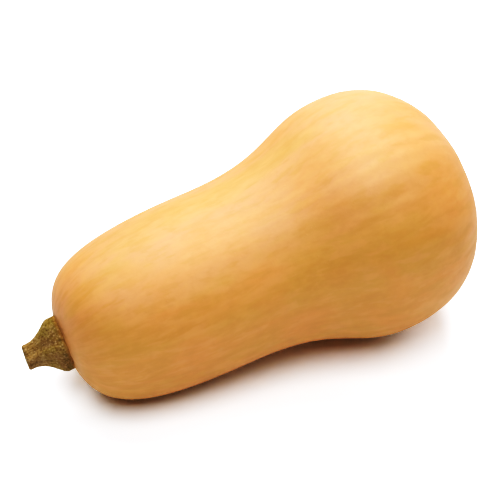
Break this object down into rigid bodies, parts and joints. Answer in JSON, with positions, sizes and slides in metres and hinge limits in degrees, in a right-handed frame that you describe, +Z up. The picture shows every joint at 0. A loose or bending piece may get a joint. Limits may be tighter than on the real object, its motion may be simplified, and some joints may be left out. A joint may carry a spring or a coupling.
{
  "type": "butternut squash",
  "caption": "Whole butternut squash lying on its side: a long thick neck, a rounded bulb, a smooth tan-orange rind and a short dry ridged stem.",
  "frame": {"origin": "middle of the part's box at ground level, below the lying fruit", "axes": "+X along the fruit from the stem to the blossom end, +Z up, so that the neck lies towards -X and the bulb towards +X"},
  "size_m": [0.2238, 0.1194, 0.1187],
  "materials": {
    "rind": "smooth waxy tan-orange rind with faint lengthwise streaks, satin",
    "stem_bark": "dry corky olive-brown stem with pale specks, matt"
  },
  "bodies": {
    "root": {"fruit": "rind", "stem": "stem_bark"}
  },
  "joints": []
}
